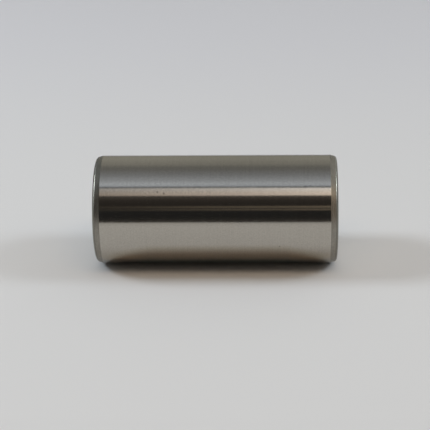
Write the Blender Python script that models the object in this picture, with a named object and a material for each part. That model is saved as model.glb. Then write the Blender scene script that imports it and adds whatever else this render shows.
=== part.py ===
"""Crank pin: the hardened, ground steel pin that joins two crank webs and carries the big-end bearing.

One turned and ground solid. It stands on its lower end face, with +Z along its axis and the origin at the
centre of that face. Both ends are alike: a flat face, a rounded edge, and a tapered lead-in that guides the
pin into the bore of its web.
"""

from math import cos, pi, radians, sin, tan

import bmesh
import bpy

# Driving dimensions, in metres
PIN_DIAMETER = 0.0220
PIN_LENGTH = 0.0487
LEAD_IN_LENGTH = 0.00145
LEAD_IN_ANGLE = radians(15.0)
EDGE_RADIUS = 0.0007

# Fineness of the facets
SIDES = 144
EDGE_STEPS = 6

# Share of the taper that its rounded edge may take up at most
MOST_TAPER_ROUNDED = 0.9

STEEL_COLOUR = (0.47, 0.43, 0.385, 1.0)
STEEL_ROUGHNESS = 0.12


def clear_scene():
    for obj in list(bpy.data.objects):
        bpy.data.objects.remove(obj)


def ground_steel():
    material = bpy.data.materials.new("ground_steel")
    material.use_nodes = True
    shader = material.node_tree.nodes["Principled BSDF"]
    shader.inputs["Base Color"].default_value = STEEL_COLOUR
    shader.inputs["Metallic"].default_value = 1.0
    shader.inputs["Roughness"].default_value = STEEL_ROUGHNESS
    return material


def end_outline():
    """One end's outline as (radius, distance from the end face), from the flat face out to the barrel."""
    barrel_radius = PIN_DIAMETER / 2
    corner_radius = barrel_radius - LEAD_IN_LENGTH * tan(LEAD_IN_ANGLE)
    # The rounded edge turns from the flat face to the taper, and takes up this many radii of each
    turn = pi / 2 - LEAD_IN_ANGLE
    tangent = tan(turn / 2)
    taper_slope = LEAD_IN_LENGTH / cos(LEAD_IN_ANGLE)
    edge_radius = min(EDGE_RADIUS, MOST_TAPER_ROUNDED * taper_slope / tangent)
    face_radius = corner_radius - edge_radius * tangent
    angles = [turn * step / EDGE_STEPS for step in range(EDGE_STEPS + 1)]
    rounded_edge = [
        (face_radius + edge_radius * sin(angle), edge_radius * (1 - cos(angle)))
        for angle in angles
    ]
    return [(0.0, 0.0), *rounded_edge, (barrel_radius, LEAD_IN_LENGTH)]


def pin_outline():
    """The whole pin's outline as (radius, height), from the lower face's centre to the upper face's."""
    lower = end_outline()
    upper = [(radius, PIN_LENGTH - distance) for radius, distance in reversed(lower)]
    return lower + upper


def turned(name, outline, material):
    """A solid of revolution about +Z from an outline that starts and ends on the axis."""
    mesh = bpy.data.meshes.new(name)
    shape = bmesh.new()
    points = [shape.verts.new((radius, 0.0, height)) for radius, height in outline]
    edges = [shape.edges.new(pair) for pair in zip(points, points[1:])]
    bmesh.ops.spin(
        shape,
        geom=points + edges,
        cent=(0.0, 0.0, 0.0),
        axis=(0.0, 0.0, 1.0),
        angle=2 * pi,
        steps=SIDES,
        use_merge=True,
    )
    bmesh.ops.remove_doubles(shape, verts=shape.verts, dist=1e-7)
    bmesh.ops.recalc_face_normals(shape, faces=shape.faces)
    shape.to_mesh(mesh)
    shape.free()
    mesh.shade_smooth()
    mesh.set_sharp_from_angle(angle=radians(10.0))
    mesh.materials.append(material)
    obj = bpy.data.objects.new(name, mesh)
    bpy.context.scene.collection.objects.link(obj)
    return obj


clear_scene()
turned("crank_pin", pin_outline(), ground_steel())
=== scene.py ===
"""Looks of the crank pin: a smooth turned mesh with ground and turned steel, on a pale sheet.

The pin stands on its end, with +Z along its axis. The photograph shows it lying on its side, so
everything of the photograph is laid out along three directions of its own: PHOTO_UP, out of the
sheet that the pin lies on there, PHOTO_FRONT, along that sheet towards the camera, and
PHOTO_RIGHT, along the pin.
"""

from math import cos, degrees, pi, radians, sin, tan

import bmesh
import bpy
from mathutils import Matrix, Vector


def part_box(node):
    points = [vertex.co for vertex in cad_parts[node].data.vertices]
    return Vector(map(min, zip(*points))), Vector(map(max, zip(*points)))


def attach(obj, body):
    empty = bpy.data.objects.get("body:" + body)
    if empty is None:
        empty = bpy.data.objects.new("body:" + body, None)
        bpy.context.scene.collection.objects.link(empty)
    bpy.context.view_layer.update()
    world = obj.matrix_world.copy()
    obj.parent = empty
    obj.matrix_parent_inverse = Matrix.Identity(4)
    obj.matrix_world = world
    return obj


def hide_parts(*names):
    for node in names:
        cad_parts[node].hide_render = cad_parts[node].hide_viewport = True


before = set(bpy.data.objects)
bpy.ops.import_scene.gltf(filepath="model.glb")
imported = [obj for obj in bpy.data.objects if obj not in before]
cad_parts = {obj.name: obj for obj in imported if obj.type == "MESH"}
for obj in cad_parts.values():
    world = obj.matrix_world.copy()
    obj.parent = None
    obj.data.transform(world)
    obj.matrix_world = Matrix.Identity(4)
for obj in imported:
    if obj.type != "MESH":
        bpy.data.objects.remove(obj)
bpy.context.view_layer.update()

# The photograph's directions in the frame
PHOTO_RIGHT = Vector((0.0, 0.0, 1.0))
PHOTO_UP = Vector((1.0, -1.0, 0.0)).normalized()
PHOTO_FRONT = PHOTO_RIGHT.cross(PHOTO_UP)

# The pin, in metres: its diameter and length are the frame's, and its ends repeat the CAD model's
pin_low, pin_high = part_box("crank_pin")
PIN_RADIUS = (pin_high.x - pin_low.x) / 2
PIN_LENGTH = pin_high.z - pin_low.z
PIN_CENTRE = Vector((0.0, 0.0, PIN_LENGTH / 2))
LEAD_IN_LENGTH = 0.00145
LEAD_IN_ANGLE = radians(15.0)
EDGE_RADIUS = 0.0007
BREAK_RADIUS = 0.0006

# The turned mesh: its sides round the pin, its steps over each rounding, and how far from a
# rounding the next ring of points lies, so that the flat and straight faces shade evenly. Points
# within MERGE_DISTANCE are joined, and faces within FLAT_DEPTH of an end belong to its end face.
SIDES = 360
EDGE_STEPS = 16
BREAK_STEPS = 4
SUPPORT_GAP = 0.00006
MERGE_DISTANCE = 1e-7
FLAT_DEPTH = 1e-6

# The order of the pin's materials
BARREL, LEAD_IN, ROUNDED_EDGE, END_FACE = range(4)

# Reflectance of the bare steel
GROUND_STEEL = (0.46, 0.43, 0.38, 1.0)
GROUND_STEEL_DARK = (0.43, 0.402, 0.355, 1.0)
GROUND_STEEL_LIGHT = (0.49, 0.458, 0.405, 1.0)
TURNED_STEEL = (0.293, 0.275, 0.239, 1.0)
TURNED_STEEL_DARK = (0.266, 0.249, 0.216, 1.0)
TURNED_STEEL_LIGHT = (0.321, 0.301, 0.262, 1.0)
ROUNDED_STEEL = (0.23, 0.22, 0.189, 1.0)
BLACK = (0.0, 0.0, 0.0, 1.0)

# Roughness of each surface, from its smoothest to its roughest spots
BARREL_ROUGHNESS = (0.095, 0.145)
LEAD_IN_ROUGHNESS = (0.24, 0.30)
EDGE_ROUGHNESS = (0.22, 0.28)
END_ROUGHNESS = (0.13, 0.19)

# How much more each surface blurs its reflections one way than the other
BARREL_BLUR = 0.6
LEAD_IN_BLUR = 0.85
EDGE_BLUR = 0.95
END_BLUR = 0.5

# Which way that is, as a share of a full turn: round the pin, or along its outline
BLUR_ROUND = 0.0
BLUR_ALONG = 0.25

# Patterns of the steel: noise cycles in a metre across the pin and along it, then the noise's
# detail and roughness. The end face's rings have cycles in a metre outward instead.
BARREL_GRAIN = (3600.0, 3600.0, 2.0, 0.6)
GRIND_LINES = (60.0, 5000.0, 5.0, 0.65)
WAVINESS = (300.0, 300.0, 2.0, 0.5)
TURNED_GRAIN = (1400.0, 1400.0, 2.0, 0.6)
GROOVES = (90.0, 9000.0, 3.0, 0.6)
RING_CYCLES = 4000.0
RING_DETAIL = (3.0, 0.6)

# Depth of the patterns' relief, in metres
GRAIN_DEPTH = 3.0e-6
GRIND_LINE_DEPTH = 3e-7
WAVINESS_DEPTH = 1.5e-6
GROOVE_DEPTH = 6e-7
RING_DEPTH = 8e-7

# The values that a noise spreads over, those of the barrel's mix of grain and lines, and the
# grain's share in that mix
NOISE_RANGE = (0.3, 0.7)
SHADE_RANGE = (0.38, 0.62)
GRAIN_SHARE = 0.7

# A factor that rises or falls over a range
RISING = (0.0, 1.0)
FALLING = (1.0, 0.0)

# Small dark marks on the barrel: height along the pin, angle round it from the camera's side, and
# radius, of which the core is darkest
MARKS = (
    (0.0130, radians(41.5), 0.00030),
    (0.0143, radians(39.9), 0.00028),
    (0.0371, radians(-19.1), 0.00023),
    (0.0422, radians(47.5), 0.00022),
    (0.0432, radians(47.8), 0.00022),
)
MARK_COLOUR = (0.10, 0.09, 0.08, 1.0)
MARK_STRENGTH = 0.45
MARK_CORE = 0.3

# The camera: its distance from the pin's centre, its height over the sheet and its turn to the
# right as angles, its sensor and lens in mm, where the pin's centre lies in the picture, and the
# distances between which it sees
CAMERA_DISTANCE = 0.308
CAMERA_ELEVATION = radians(24.0)
CAMERA_TURN = radians(2.341)
CAMERA_ROLL = radians(-1.106)
CAMERA_SENSOR = 36.0
CAMERA_LENS = 126.43
CAMERA_DROP = 0.001248
CAMERA_SIDESTEP = -0.000373
CAMERA_NEAREST = 0.01
CAMERA_FARTHEST = 5.0

# The sheet that the pin lies on in the photograph. Its ranges are metres back from the line where
# it touches the pin. Over the first of them its colour turns darker and bluer further back, a
# painted shade for the light's falloff. Over the second, towards its front end, it darkens, also
# a painted shade.
SHEET_FRONT = 0.165
SHEET_BACK = 0.70
SHEET_HALF_WIDTH = 0.60
SHEET_COLOUR = (0.727, 0.725, 0.722, 1.0)
FAR_PAINTED_FALLOFF_COLOUR = (0.704, 0.701, 0.722)
SHEET_ROUGHNESS = 0.9
SHEET_SPECULAR = 0.1
PAINTED_FALLOFF_RANGE = (0.03, 0.17)
PAINTED_FRONT_END_RANGE = (-0.15, -0.062)
PAINTED_FRONT_END_SHADE = 0.21

# Painted contact shadow: how much darker the sheet is beside that line, and the distances from it
# between which that fades out. Over the last PIN_END_FADE before each end of the pin, the painted
# mirrored shadow fades out too.
PAINTED_CONTACT_SHADE = 0.33
PAINTED_CONTACT_RANGE = (0.0025, 0.0080)
PIN_END_FADE = 0.004

# Painted shadow in reflections: how much darker the sheet's colour is where the steel mirrors it
# in front of the line, by distance from it as a share of SHADOW_REACH. The edge of this painted
# shadow runs straight up to SHADOW_STRAIGHT from the pin's middle, and past that it draws in by
# SHADOW_TAPER metres in each metre.
SHADOW_REACH = 0.016
SHADOW_STRAIGHT = 0.014
SHADOW_TAPER = 0.62
MIRRORED_PAINTED_SHADOW = (
    (0.0, (0.75, 0.80, 0.80)),
    (0.20, (0.65, 0.72, 0.72)),
    (0.33, (0.49, 0.55, 0.57)),
    (0.49, (0.62, 0.60, 0.60)),
    (0.64, (0.73, 0.67, 0.62)),
    (0.79, (0.88, 0.86, 0.80)),
    (0.97, (1.0, 1.0, 1.0)),
)

# The soft lamps: two beyond the pin's ends, and a warm one in front that only lights the sheet
LAMP_DISTANCE = 0.60
SIDE_LAMP_SIZE = (0.18, 0.17)
SIDE_LAMP_COLOUR = (0.94, 1.036, 1.133)
LEFT_LAMP_ELEVATION = radians(40.0)
LEFT_LAMP_TURN = radians(2.0)
LEFT_LAMP_POWER = 1.25
RIGHT_LAMP_ELEVATION = radians(40.0)
RIGHT_LAMP_TURN = radians(-0.5)
RIGHT_LAMP_POWER = 0.83
FRONT_LAMP_SIZE = (0.56, 0.17)
FRONT_LAMP_COLOUR = (1.0, 0.71, 0.45)
FRONT_LAMP_ELEVATION = radians(63.0)
FRONT_LAMP_POWER = 0.49

# The tables below tell the room's light by two angles in degrees. The angle over the pin runs from
# the camera's side over the top to the back. It starts this far below level, since the sheet's
# front edge lies a little below level as seen from the pin. The angle across runs from the far
# left to the far right, and the middle of the pin mirrors what lies at 90.
ROOM_START = radians(2.5)
HALF_TURN = 180.0
ACROSS_RANGE = (-90.0, 90.0)

# Light of the room's middle by angle over the pin, and how it changes by angle across
ROOM_LEVELS = (
    (0, (0.060, 0.055, 0.050)),
    (3.3, (0.034, 0.033, 0.032)),
    (8.3, (0.0225, 0.0225, 0.023)),
    (20.3, (0.0225, 0.0235, 0.024)),
    (35.2, (0.032, 0.029, 0.026)),
    (44, (0.041, 0.0365, 0.033)),
    (49.2, (0.068, 0.061, 0.054)),
    (71.2, (0.12, 0.13, 0.15)),
    (74.3, (0.30, 0.33, 0.37)),
    (76.1, (0.54, 0.60, 0.70)),
    (81.0, (0.58, 0.64, 0.73)),
    (88.9, (0.43, 0.47, 0.53)),
    (102.8, (0.285, 0.305, 0.335)),
    (118.6, (0.205, 0.21, 0.21)),
    (125.5, (0.21, 0.215, 0.21)),
    (136.3, (0.305, 0.305, 0.285)),
    (157.5, (0.36, 0.36, 0.325)),
    (176, (0.30, 0.295, 0.255)),
)
ROOM_SIDES = (
    (85.5, (1.06, 1.06, 1.06)),
    (87.4, (1.12, 1.12, 1.12)),
    (88.8, (1.05, 1.05, 1.05)),
    (90, (1.0, 1.0, 1.0)),
    (92, (1.0, 1.0, 1.0)),
    (94, (1.04, 1.04, 1.04)),
)

# The bright bar in front of the pin: its edges by angle over the pin, and its light by angle across
BAR_SHAPE = (
    (53.6, (0.0, 0.0, 0.0)),
    (54.6, (0.99, 0.85, 0.75)),
    (62.0, (0.96, 0.87, 0.80)),
    (70.6, (1.0, 0.98, 0.97)),
    (71.2, (0.0, 0.0, 0.0)),
)
BAR_LEVELS = (
    (55, (0.0, 0.0, 0.0)),
    (65, (0.10, 0.09, 0.07)),
    (83.5, (0.22, 0.22, 0.22)),
    (86.2, (0.46, 0.455, 0.445)),
    (88.1, (0.58, 0.575, 0.575)),
    (90, (0.645, 0.645, 0.65)),
    (91.9, (0.745, 0.745, 0.745)),
    (93.8, (1.03, 1.035, 1.04)),
    (95.3, (1.15, 1.15, 1.14)),
    (97.5, (1.40, 1.40, 1.35)),
    (100, (1.20, 1.17, 1.10)),
    (112, (1.15, 1.08, 0.98)),
    (118, (1.05, 0.86, 0.66)),
    (124, (0.72, 0.57, 0.42)),
    (135, (0.35, 0.28, 0.21)),
    (155, (0.15, 0.13, 0.10)),
)

# Two faint lines of light, lower down in front, told in the same way
LINE_SHAPE = (
    (22.8, (0.0, 0.0, 0.0)),
    (23.5, (1.0, 0.83, 0.62)),
    (25.2, (1.0, 0.83, 0.62)),
    (25.9, (0.02, 0.02, 0.01)),
    (27.7, (0.02, 0.02, 0.01)),
    (28.5, (1.0, 0.83, 0.62)),
    (31.3, (1.0, 0.83, 0.62)),
    (32.2, (0.0, 0.0, 0.0)),
)
LINE_LEVELS = (
    (85.8, (0.02, 0.02, 0.02)),
    (88.3, (0.04, 0.04, 0.04)),
    (89.4, (0.125, 0.125, 0.125)),
    (90.4, (0.18, 0.18, 0.18)),
    (91.6, (0.12, 0.12, 0.12)),
    (92.6, (0.07, 0.07, 0.07)),
    (93.3, (0.18, 0.18, 0.18)),
    (94.0, (0.23, 0.23, 0.23)),
)

# The room to the left and right of the pin by angle over it, and far out beyond its ends
LEFT_WALL = (
    (0, (0.083, 0.077, 0.072)),
    (46, (0.078, 0.072, 0.062)),
    (60, (0.083, 0.067, 0.052)),
    (73, (0.145, 0.148, 0.14)),
    (80, (0.23, 0.257, 0.275)),
    (104, (0.28, 0.31, 0.32)),
    (180, (0.20, 0.215, 0.215)),
)
RIGHT_WALL = (
    (0, (0.288, 0.246, 0.207)),
    (46, (0.24, 0.20, 0.165)),
    (60, (0.335, 0.285, 0.24)),
    (73, (0.78, 0.80, 0.73)),
    (80, (0.52, 0.54, 0.53)),
    (104, (0.50, 0.52, 0.52)),
    (180, (0.62, 0.61, 0.56)),
)
FAR_WALL = (
    (0, (0.12, 0.115, 0.105)),
    (30, (0.27, 0.26, 0.24)),
    (60, (0.44, 0.435, 0.42)),
    (100, (0.45, 0.49, 0.54)),
    (180, (0.45, 0.49, 0.54)),
)

# Degrees to either side over which the room's middle turns into its walls, and these into the far
# walls
WALL_RANGE = (8.0, 26.0)
FAR_WALL_RANGE = (42.0, 65.0)

# The Mix node's sockets for colours, which share their names with its other sockets
MIX_FIRST = 6
MIX_SECOND = 7
MIX_RESULT = 2


def feed(tree, socket, value):
    """Links a socket to another node's output, or sets it to a plain value."""
    if isinstance(value, bpy.types.NodeSocket):
        tree.links.new(value, socket)
    else:
        socket.default_value = value


def math(tree, operation, *values):
    node = tree.nodes.new("ShaderNodeMath")
    node.operation = operation
    for socket, value in zip(node.inputs, values):
        feed(tree, socket, value)
    return node.outputs["Value"]


def vector_math(tree, operation, *vectors):
    """All outputs of the node, since some operations give a number and others a vector."""
    node = tree.nodes.new("ShaderNodeVectorMath")
    node.operation = operation
    for socket, vector in zip(node.inputs, vectors):
        feed(tree, socket, vector)
    return node.outputs


def dot(tree, vector, direction):
    return vector_math(tree, "DOT_PRODUCT", vector, direction)["Value"]


def multiplied(tree, vector, other):
    return vector_math(tree, "MULTIPLY", vector, other)["Vector"]


def spread(tree, value, source, target, smooth=False):
    """Maps the range source onto the range target, whose ends hold beyond it."""
    node = tree.nodes.new("ShaderNodeMapRange")
    node.interpolation_type = "SMOOTHSTEP" if smooth else "LINEAR"
    feed(tree, node.inputs["Value"], value)
    node.inputs["From Min"].default_value = source[0]
    node.inputs["From Max"].default_value = source[1]
    node.inputs["To Min"].default_value = target[0]
    node.inputs["To Max"].default_value = target[1]
    return node.outputs["Result"]


def ramp(tree, factor, stops):
    """A colour ramp from (position, colour) pairs in rising order."""
    node = tree.nodes.new("ShaderNodeValToRGB")
    elements = node.color_ramp.elements
    while len(elements) < len(stops):
        elements.new(0.5)
    for element, (position, colour) in zip(elements, stops):
        element.position = position
        element.color = (*colour, 1.0)
    feed(tree, node.inputs["Fac"], factor)
    return node.outputs["Color"]


def levels_by_angle(tree, angle, stops):
    """A ramp from (degrees, colour) pairs, for an angle that runs from 0 to 1 over half a turn."""
    return ramp(tree, angle, [(stop / HALF_TURN, colour) for stop, colour in stops])


def mixed(tree, blend, factor, first, second):
    node = tree.nodes.new("ShaderNodeMix")
    node.data_type = "RGBA"
    node.blend_type = blend
    feed(tree, node.inputs["Factor"], factor)
    feed(tree, node.inputs[MIX_FIRST], first)
    feed(tree, node.inputs[MIX_SECOND], second)
    return node.outputs[MIX_RESULT]


def noise(tree, vector, detail, roughness):
    node = tree.nodes.new("ShaderNodeTexNoise")
    feed(tree, node.inputs["Vector"], vector)
    node.inputs["Scale"].default_value = 1.0
    node.inputs["Detail"].default_value = detail
    node.inputs["Roughness"].default_value = roughness
    return node.outputs["Fac"]


def bump(tree, height, distance, below=None):
    """The normal of a relief, on top of the one below where that is given."""
    node = tree.nodes.new("ShaderNodeBump")
    node.inputs["Strength"].default_value = 1.0
    node.inputs["Distance"].default_value = distance
    feed(tree, node.inputs["Height"], height)
    if below:
        feed(tree, node.inputs["Normal"], below)
    return node.outputs["Normal"]


def object_coordinates(tree):
    return tree.nodes.new("ShaderNodeTexCoord").outputs["Object"]


def pattern(tree, across, along, detail, roughness):
    """Noise by its cycles in a metre across the pin and along it."""
    place = multiplied(tree, object_coordinates(tree), (across, across, along))
    return noise(tree, place, detail, roughness)


def new_material(name, colour, roughness):
    material = bpy.data.materials.new(name)
    material.use_nodes = True
    shader = material.node_tree.nodes["Principled BSDF"]
    shader.inputs["Base Color"].default_value = colour
    shader.inputs["Roughness"].default_value = roughness
    return material, material.node_tree, shader


def new_steel(name, colour, roughness, blur, blur_direction):
    """Bare steel that blurs its reflections more one way than the other."""
    material, tree, shader = new_material(name, colour, sum(roughness) / 2)
    tangent = tree.nodes.new("ShaderNodeTangent")
    tangent.direction_type = "RADIAL"
    tangent.axis = "Z"
    tree.links.new(tangent.outputs["Tangent"], shader.inputs["Tangent"])
    shader.inputs["Metallic"].default_value = 1.0
    shader.inputs["Anisotropic"].default_value = blur
    shader.inputs["Anisotropic Rotation"].default_value = blur_direction
    return material, tree, shader


def roughen(tree, shader, value, roughness):
    """Lets a noise set the roughness within its range."""
    rough = spread(tree, value, NOISE_RANGE, roughness)
    tree.links.new(rough, shader.inputs["Roughness"])


def marks(tree):
    """A factor that is 1 at the core of each small mark and 0 away from them."""
    place = object_coordinates(tree)
    found = 0.0
    for height, angle, radius in MARKS:
        outward = PHOTO_FRONT * cos(angle) + PHOTO_UP * sin(angle)
        middle = outward * PIN_RADIUS + PHOTO_RIGHT * height
        distance = vector_math(tree, "DISTANCE", place, middle)["Value"]
        mark = spread(tree, distance, (radius * MARK_CORE, radius), FALLING)
        found = math(tree, "MAXIMUM", found, mark)
    return found


def ground_barrel():
    """Ground steel: fine grain, faint lines round the pin, a slow waviness and a few dark marks."""
    material, tree, shader = new_steel(
        "ground_barrel", GROUND_STEEL, BARREL_ROUGHNESS, BARREL_BLUR, BLUR_ALONG
    )
    grain = pattern(tree, *BARREL_GRAIN)
    lines = pattern(tree, *GRIND_LINES)
    roughen(tree, shader, lines, BARREL_ROUGHNESS)
    grain_part = math(tree, "MULTIPLY", grain, GRAIN_SHARE)
    line_part = math(tree, "MULTIPLY", lines, 1.0 - GRAIN_SHARE)
    shade = math(tree, "ADD", grain_part, line_part)
    lightness = spread(tree, shade, SHADE_RANGE, RISING)
    steel = mixed(tree, "MIX", lightness, GROUND_STEEL_DARK, GROUND_STEEL_LIGHT)
    marked = math(tree, "MULTIPLY", marks(tree), MARK_STRENGTH)
    tree.links.new(mixed(tree, "MIX", marked, steel, MARK_COLOUR), shader.inputs["Base Color"])
    wavy = bump(tree, pattern(tree, *WAVINESS), WAVINESS_DEPTH)
    grainy = bump(tree, grain, GRAIN_DEPTH, wavy)
    tree.links.new(bump(tree, lines, GRIND_LINE_DEPTH, grainy), shader.inputs["Normal"])
    return material


def turned_lead_in():
    """Turned steel, less smooth than the barrel, with grooves round the pin."""
    material, tree, shader = new_steel(
        "turned_lead_in", TURNED_STEEL, LEAD_IN_ROUGHNESS, LEAD_IN_BLUR, BLUR_ROUND
    )
    grooves = pattern(tree, *GROOVES)
    roughen(tree, shader, grooves, LEAD_IN_ROUGHNESS)
    lightness = spread(tree, pattern(tree, *TURNED_GRAIN), NOISE_RANGE, RISING)
    steel = mixed(tree, "MIX", lightness, TURNED_STEEL_DARK, TURNED_STEEL_LIGHT)
    tree.links.new(steel, shader.inputs["Base Color"])
    tree.links.new(bump(tree, grooves, GROOVE_DEPTH), shader.inputs["Normal"])
    return material


def rounded_edge():
    """The rounded edge between the lead-in and the end face: turned steel, darker and smoother."""
    material, tree, shader = new_steel(
        "rounded_edge", ROUNDED_STEEL, EDGE_ROUGHNESS, EDGE_BLUR, BLUR_ROUND
    )
    roughen(tree, shader, pattern(tree, *TURNED_GRAIN), EDGE_ROUGHNESS)
    return material


def faced_end():
    """Faced steel, with fine rings round the middle of the end."""
    material, tree, shader = new_steel(
        "faced_end", GROUND_STEEL, END_ROUGHNESS, END_BLUR, BLUR_ALONG
    )
    across = multiplied(tree, object_coordinates(tree), (1.0, 1.0, 0.0))
    from_axis = vector_math(tree, "LENGTH", across)["Value"]
    rings = noise(tree, math(tree, "MULTIPLY", from_axis, RING_CYCLES), *RING_DETAIL)
    roughen(tree, shader, rings, END_ROUGHNESS)
    lightness = spread(tree, rings, NOISE_RANGE, RISING)
    steel = mixed(tree, "MIX", lightness, GROUND_STEEL_DARK, GROUND_STEEL_LIGHT)
    tree.links.new(steel, shader.inputs["Base Color"])
    tree.links.new(bump(tree, rings, RING_DEPTH), shader.inputs["Normal"])
    return material


def arc(centre, radius, start, end, steps):
    """Points on an arc, with angles from the outline's first axis towards its second."""
    angles = [start + (end - start) * step / steps for step in range(steps + 1)]
    return [(centre[0] + radius * cos(angle), centre[1] + radius * sin(angle)) for angle in angles]


def end_outline():
    """One end's outline as (radius, distance from the end face), from the centre to the barrel."""
    corner_radius = PIN_RADIUS - LEAD_IN_LENGTH * tan(LEAD_IN_ANGLE)
    turn = pi / 2 - LEAD_IN_ANGLE
    face_radius = corner_radius - EDGE_RADIUS * tan(turn / 2)
    edge_centre = (face_radius, EDGE_RADIUS)
    edge = arc(edge_centre, EDGE_RADIUS, -pi / 2, -LEAD_IN_ANGLE, EDGE_STEPS)
    break_start = LEAD_IN_LENGTH + BREAK_RADIUS * tan(LEAD_IN_ANGLE / 2)
    break_centre = (PIN_RADIUS - BREAK_RADIUS, break_start)
    blend = arc(break_centre, BREAK_RADIUS, -LEAD_IN_ANGLE, 0.0, BREAK_STEPS)
    inner_ring = (face_radius - SUPPORT_GAP, 0.0)
    barrel_ring = (PIN_RADIUS, break_start + SUPPORT_GAP)
    return [(0.0, 0.0), inner_ring, *edge, *blend, barrel_ring]


def material_at(height):
    """Which of the pin's materials a face has, by the height of its middle."""
    from_end = min(height, PIN_LENGTH - height)
    if from_end > LEAD_IN_LENGTH:
        return BARREL
    if from_end > EDGE_RADIUS * (1 - sin(LEAD_IN_ANGLE)):
        return LEAD_IN
    return ROUNDED_EDGE if from_end > FLAT_DEPTH else END_FACE


def turned_pin(materials):
    """The pin as a smooth solid of revolution."""
    lower = end_outline()
    upper = [(radius, PIN_LENGTH - distance) for radius, distance in reversed(lower)]
    mesh = bpy.data.meshes.new("crank_pin_turned")
    shape = bmesh.new()
    points = [shape.verts.new((radius, 0.0, height)) for radius, height in lower + upper]
    edges = [shape.edges.new(pair) for pair in zip(points, points[1:])]
    bmesh.ops.spin(
        shape,
        geom=points + edges,
        cent=(0.0, 0.0, 0.0),
        axis=(0.0, 0.0, 1.0),
        angle=2 * pi,
        steps=SIDES,
        use_merge=True,
    )
    bmesh.ops.remove_doubles(shape, verts=shape.verts, dist=MERGE_DISTANCE)
    bmesh.ops.recalc_face_normals(shape, faces=shape.faces)
    for face in shape.faces:
        face.smooth = True
        face.material_index = material_at(face.calc_center_median().z)
    shape.to_mesh(mesh)
    shape.free()
    for material in materials:
        mesh.materials.append(material)
    pin = bpy.data.objects.new("crank_pin_turned", mesh)
    bpy.context.scene.collection.objects.link(pin)
    return pin


def show_from_front(tree, shader):
    """Lets a material be seen through from behind."""
    mix = tree.nodes.new("ShaderNodeMixShader")
    see_through = tree.nodes.new("ShaderNodeBsdfTransparent")
    backfacing = tree.nodes.new("ShaderNodeNewGeometry").outputs["Backfacing"]
    tree.links.new(backfacing, mix.inputs["Fac"])
    tree.links.new(shader.outputs["BSDF"], mix.inputs[1])
    tree.links.new(see_through.outputs["BSDF"], mix.inputs[2])
    tree.links.new(mix.outputs["Shader"], tree.nodes["Material Output"].inputs["Surface"])


def sheet_material():
    """Matt white paper with painted shade: darker and bluer further back, darker towards its front
    end, and darker beside the line where it touches the pin, a painted contact shadow.

    In reflections a painted mirrored shadow takes the place of that painted contact shadow. From
    behind, the sheet can be seen through, so that it hides nothing of the pin.
    """
    material, tree, shader = new_material("pale_sheet", SHEET_COLOUR, SHEET_ROUGHNESS)
    shader.inputs["Specular IOR Level"].default_value = SHEET_SPECULAR
    place = object_coordinates(tree)
    distance_back = dot(tree, place, -PHOTO_FRONT)
    from_line = math(tree, "ABSOLUTE", distance_back)
    half_length = PIN_LENGTH / 2
    past_middle = math(tree, "SUBTRACT", dot(tree, place, PHOTO_RIGHT), half_length)
    past_middle = math(tree, "ABSOLUTE", past_middle)
    fade = (half_length - PIN_END_FADE, half_length)
    under_pin = spread(tree, past_middle, fade, FALLING, smooth=True)

    # Painted shade: the sheet turns darker and bluer further back, for the light's falloff
    far = spread(tree, distance_back, PAINTED_FALLOFF_RANGE, RISING, smooth=True)
    painted_falloff_tint = ramp(tree, far, [(0.0, SHEET_COLOUR[:3]), (1.0, FAR_PAINTED_FALLOFF_COLOUR)])
    # Painted shade: the sheet darkens towards its front end
    painted_front_end_shade = spread(tree, distance_back, PAINTED_FRONT_END_RANGE, (PAINTED_FRONT_END_SHADE, 0.0))
    paper = mixed(tree, "MIX", painted_front_end_shade, painted_falloff_tint, BLACK)
    # Painted contact shadow beside the line where the sheet touches the pin
    painted_contact_shade = spread(tree, from_line, PAINTED_CONTACT_RANGE, (PAINTED_CONTACT_SHADE, 0.0))
    seen = mixed(tree, "MIX", math(tree, "MULTIPLY", under_pin, painted_contact_shade), paper, BLACK)

    # Painted shadow in front of the line, which only the steel's reflections see
    past_straight = math(tree, "SUBTRACT", past_middle, SHADOW_STRAIGHT)
    past_straight = math(tree, "MAXIMUM", past_straight, 0.0)
    drawn_in = math(tree, "MULTIPLY", past_straight, SHADOW_TAPER)
    reach = math(tree, "DIVIDE", math(tree, "ADD", from_line, drawn_in), SHADOW_REACH)
    shadow = ramp(tree, reach, MIRRORED_PAINTED_SHADOW)
    in_front = math(tree, "LESS_THAN", distance_back, 0.0)
    shaded = math(tree, "MULTIPLY", under_pin, in_front)
    mirrored = mixed(tree, "MULTIPLY", shaded, paper, shadow)

    # Glossy rays see the painted mirrored shadow, all other rays the painted contact shadow
    in_reflections = tree.nodes.new("ShaderNodeLightPath").outputs["Is Glossy Ray"]
    colour = mixed(tree, "MIX", in_reflections, seen, mirrored)
    tree.links.new(colour, shader.inputs["Base Color"])
    show_from_front(tree, shader)
    return material


def photo_sheet():
    """The sheet touches the pin's side along a line and faces PHOTO_UP."""
    foot = PIN_CENTRE - PIN_RADIUS * PHOTO_UP
    corners = [
        foot + PHOTO_FRONT * along + PHOTO_RIGHT * across
        for along, across in (
            (-SHEET_BACK, SHEET_HALF_WIDTH),
            (-SHEET_BACK, -SHEET_HALF_WIDTH),
            (SHEET_FRONT, -SHEET_HALF_WIDTH),
            (SHEET_FRONT, SHEET_HALF_WIDTH),
        )
    ]
    mesh = bpy.data.meshes.new("pale_sheet")
    mesh.from_pydata(corners, [], [(0, 1, 2, 3)])
    if mesh.polygons[0].normal.dot(PHOTO_UP) < 0:
        mesh.flip_normals()
    mesh.materials.append(sheet_material())
    sheet = bpy.data.objects.new("pale_sheet", mesh)
    bpy.context.scene.collection.objects.link(sheet)
    return sheet


def facing(right, up, back, location):
    """A matrix for a camera or lamp that looks along minus back."""
    matrix = Matrix((right, up, back)).transposed().to_4x4()
    matrix.translation = location
    return matrix


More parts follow.
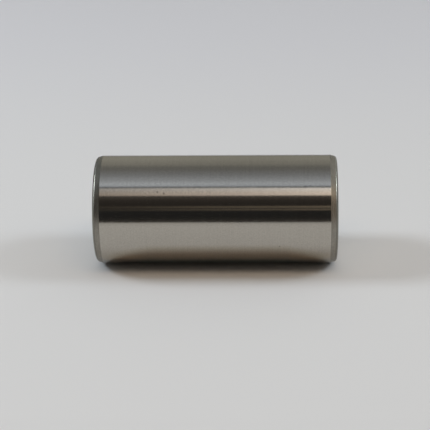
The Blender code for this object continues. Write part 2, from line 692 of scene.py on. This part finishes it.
def soft_lamp(name, back, size, colour, power):
    """A rectangular lamp that lights the pin from the direction back."""
    data = bpy.data.lights.new(name, "AREA")
    data.shape = "RECTANGLE"
    data.size, data.size_y = size
    data.energy = power
    data.color = colour
    lamp = bpy.data.objects.new(name, data)
    bpy.context.scene.collection.objects.link(lamp)
    right = PHOTO_UP.cross(back).normalized()
    location = PIN_CENTRE + back * LAMP_DISTANCE
    lamp.matrix_world = facing(right, back.cross(right), back, location)
    return lamp


def side_direction(side, elevation, turn_back):
    """The direction of a lamp past one end.

    Its side is 1 or -1 along PHOTO_RIGHT, and turn_back is an angle away from the camera.
    """
    outward = PHOTO_RIGHT * side * cos(turn_back) - PHOTO_FRONT * sin(turn_back)
    return outward * cos(elevation) + PHOTO_UP * sin(elevation)


def light_the_sheet():
    """The three lamps. In reflections, the room stands in for the front one."""
    left = side_direction(-1, LEFT_LAMP_ELEVATION, LEFT_LAMP_TURN)
    right = side_direction(1, RIGHT_LAMP_ELEVATION, RIGHT_LAMP_TURN)
    front = PHOTO_FRONT * cos(FRONT_LAMP_ELEVATION) + PHOTO_UP * sin(FRONT_LAMP_ELEVATION)
    soft_lamp("left_lamp", left, SIDE_LAMP_SIZE, SIDE_LAMP_COLOUR, LEFT_LAMP_POWER)
    soft_lamp("right_lamp", right, SIDE_LAMP_SIZE, SIDE_LAMP_COLOUR, RIGHT_LAMP_POWER)
    front_lamp = soft_lamp(
        "front_lamp", front, FRONT_LAMP_SIZE, FRONT_LAMP_COLOUR, FRONT_LAMP_POWER
    )
    front_lamp.visible_glossy = False


def studio_world():
    """The room that the steel reflects."""
    world = bpy.data.worlds.new("studio")
    bpy.context.scene.world = world
    world.use_nodes = True
    tree = world.node_tree
    direction = tree.nodes.new("ShaderNodeTexCoord").outputs["Generated"]
    up = dot(tree, direction, PHOTO_UP)
    front = dot(tree, direction, PHOTO_FRONT)
    side = dot(tree, direction, PHOTO_RIGHT)
    over = math(tree, "ADD", math(tree, "ARCTAN2", up, front), ROOM_START)
    over = math(tree, "DIVIDE", over, pi)
    degrees_right = math(tree, "DEGREES", math(tree, "ARCSINE", side))
    degrees_right = math(tree, "ADD", degrees_right, degrees(CAMERA_TURN))
    across = spread(tree, degrees_right, ACROSS_RANGE, RISING)
    sideways = math(tree, "ABSOLUTE", degrees_right)

    room_over = levels_by_angle(tree, over, ROOM_LEVELS)
    room = multiplied(tree, room_over, levels_by_angle(tree, across, ROOM_SIDES))
    line_shape = levels_by_angle(tree, over, LINE_SHAPE)
    lines = multiplied(tree, line_shape, levels_by_angle(tree, across, LINE_LEVELS))
    middle = mixed(tree, "ADD", 1.0, room, lines)
    bar_shape = levels_by_angle(tree, over, BAR_SHAPE)
    bar = multiplied(tree, bar_shape, levels_by_angle(tree, across, BAR_LEVELS))

    on_right = math(tree, "GREATER_THAN", side, 0.0)
    left_wall = levels_by_angle(tree, over, LEFT_WALL)
    right_wall = levels_by_angle(tree, over, RIGHT_WALL)
    near_wall = mixed(tree, "MIX", on_right, left_wall, right_wall)
    far_wall = levels_by_angle(tree, over, FAR_WALL)
    far_out = spread(tree, sideways, FAR_WALL_RANGE, RISING, smooth=True)
    wall = mixed(tree, "MIX", far_out, near_wall, far_wall)

    beside = spread(tree, sideways, WALL_RANGE, RISING, smooth=True)
    total = mixed(tree, "ADD", 1.0, mixed(tree, "MIX", beside, middle, wall), bar)
    background = tree.nodes["Background"]
    tree.links.new(total, background.inputs["Color"])
    background.inputs["Strength"].default_value = 1.0


def photo_camera():
    data = bpy.data.cameras.new("photo_camera")
    data.sensor_width = CAMERA_SENSOR
    data.lens = CAMERA_LENS
    data.clip_start = CAMERA_NEAREST
    data.clip_end = CAMERA_FARTHEST
    camera = bpy.data.objects.new("photo_camera", data)
    bpy.context.scene.collection.objects.link(camera)
    level_back = PHOTO_FRONT * cos(CAMERA_TURN) + PHOTO_RIGHT * sin(CAMERA_TURN)
    back = level_back * cos(CAMERA_ELEVATION) + PHOTO_UP * sin(CAMERA_ELEVATION)
    right = PHOTO_UP.cross(back).normalized()
    up = back.cross(right)
    location = PIN_CENTRE + back * CAMERA_DISTANCE - up * CAMERA_DROP + right * CAMERA_SIDESTEP
    roll = Matrix.Rotation(CAMERA_ROLL, 4, "Z")
    camera.matrix_world = facing(right, up, back, location) @ roll
    bpy.context.scene.camera = camera


pin = turned_pin([ground_barrel(), turned_lead_in(), rounded_edge(), faced_end()])
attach(pin, "root")
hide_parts("crank_pin")

photo_sheet()
light_the_sheet()
studio_world()
photo_camera()
bpy.context.scene.view_settings.view_transform = "Standard"
